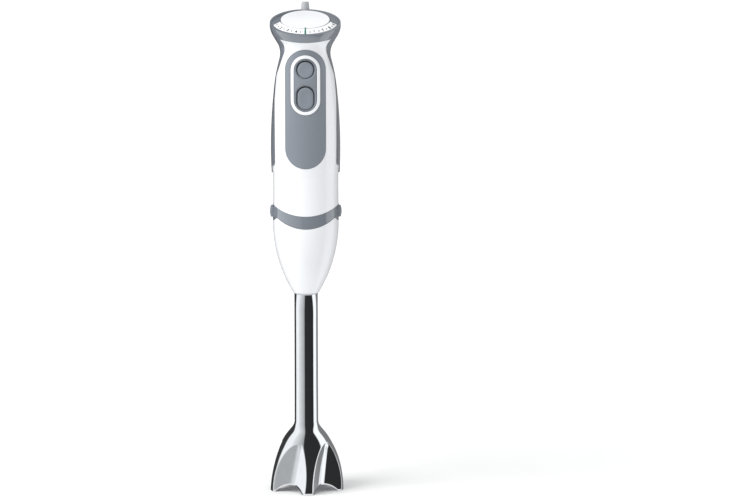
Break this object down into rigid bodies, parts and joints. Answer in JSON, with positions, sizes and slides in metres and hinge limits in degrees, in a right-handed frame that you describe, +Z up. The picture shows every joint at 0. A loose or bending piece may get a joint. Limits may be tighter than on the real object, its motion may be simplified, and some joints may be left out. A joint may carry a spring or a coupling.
{
  "type": "immersion blender",
  "caption": "Upright hand blender with a tilted speed dial, press buttons on a waisted grip, a click-off steel shaft and a fluted five-legged bell round a driven blade.",
  "frame": {"origin": "on the axis of the shaft, on the plane of the bell's feet", "axes": "+Z up along the shaft and handle, -Y towards the side with the buttons, +X to the right of it"},
  "size_m": [0.0611, 0.0685, 0.405],
  "materials": {
    "white_plastic": "glossy white moulded plastic",
    "grey_plastic": "satin silver-grey moulded plastic",
    "gland_plastic": "soft light-grey strain relief",
    "pointer_green": "green index",
    "inner_plastic": "unpainted moulded plastic",
    "polished_steel": "polished stainless steel",
    "machined_steel": "machined steel",
    "iron_core": "lamination stack",
    "bracket_aluminium": "die-cast",
    "copper": "copper",
    "brass": "brass and sintered bronze",
    "seal_rubber": "black rubber",
    "board": "green circuit board",
    "black_parts": "moulded black body or carbon"
  },
  "bodies": {
    "motor_part": {"front_housing": "white_plastic", "rear_cover": "grey_plastic", "control_panel": "grey_plastic", "panel_trim_ring": "white_plastic", "button_bezel": "grey_plastic", "scale_ring": "grey_plastic", "dial_base": "inner_plastic", "coupling_band": "grey_plastic", "coupling_plate": "inner_plastic", "plate_screws": "machined_steel", "motor_carrier": "inner_plastic", "lower_damping_ring": "seal_rubber", "upper_damping_ring": "seal_rubber", "lower_bearing_bracket": "bracket_aluminium", "upper_bearing_bracket": "bracket_aluminium", "lower_motor_bearing": "machined_steel", "upper_motor_bearing": "machined_steel", "motor_stator": "iron_core", "field_coil_left": "copper", "field_coil_right": "copper", "motor_bolts": "machined_steel", "brush_holder_left": "brass", "brush_holder_right": "brass", "carbon_brush_left": "black_parts", "carbon_brush_right": "black_parts", "brush_springs": "machined_steel", "circuit_board": "board", "capacitor": "inner_plastic", "triac": "black_parts", "power_switch": "inner_plastic", "turbo_switch": "inner_plastic", "potentiometer": "inner_plastic", "cord_gland": "gland_plastic"},
    "dial": {"speed_dial": "white_plastic", "dial_pointer": "pointer_green", "dial_stem": "inner_plastic"},
    "power_button": {"power_button": "grey_plastic"},
    "turbo_button": {"turbo_button": "grey_plastic"},
    "release_left": {"release_button_left": "grey_plastic", "latch_spring_left": "machined_steel"},
    "release_right": {"release_button_right": "grey_plastic", "latch_spring_right": "machined_steel"},
    "rotor": {"motor_shaft": "machined_steel", "armature_core": "iron_core", "armature_windings": "copper", "commutator": "copper", "cooling_fan": "inner_plastic", "drive_coupler": "inner_plastic"},
    "shaft_unit": {"coupling_cone": "white_plastic", "cone_sleeve": "inner_plastic", "blending_shaft": "polished_steel", "bearing_housing": "inner_plastic", "upper_bush": "brass", "lower_bush": "brass", "shaft_seal": "seal_rubber"},
    "blade_drive": {"drive_shaft": "machined_steel", "shaft_coupler": "inner_plastic", "blade_hub": "inner_plastic", "blade": "polished_steel"}
  },
  "joints": [
    {"name": "dial_turn", "type": "hinge", "parent": "motor_part", "child": "dial", "pos_m": [0, 0, 0.3899], "axis": [0, -0.299, 0.9542], "range_deg": [-75, 75]},
    {"name": "power_press", "type": "slide", "parent": "motor_part", "child": "power_button", "axis": [0, 1, 0], "range_m": [0, 0.0015], "stiffness_N_per_m": 600},
    {"name": "turbo_press", "type": "slide", "parent": "motor_part", "child": "turbo_button", "axis": [0, 1, 0], "range_m": [0, 0.0015], "stiffness_N_per_m": 600},
    {"name": "release_left_press", "type": "slide", "parent": "motor_part", "child": "release_left", "axis": [1, 0, 0], "range_m": [0, 0.0025], "stiffness_N_per_m": 800},
    {"name": "release_right_press", "type": "slide", "parent": "motor_part", "child": "release_right", "axis": [-1, 0, 0], "range_m": [0, 0.0025], "stiffness_N_per_m": 800},
    {"name": "rotor_spin", "type": "hinge", "parent": "motor_part", "child": "rotor", "pos_m": [0, 0, 0.28], "axis": [0, 0, 1], "continuous": true},
    {"name": "shaft_off", "type": "slide", "parent": "motor_part", "child": "shaft_unit", "axis": [0, 0, -1], "range_m": [0, 0.055]},
    {"name": "blade_spin", "type": "hinge", "parent": "shaft_unit", "child": "blade_drive", "pos_m": [0, 0, 0.013], "axis": [0, 0, 1], "continuous": true}
  ],
  "couplings": [
    {"joint": "blade_spin", "follows": "rotor_spin", "ratio": 1}
  ]
}
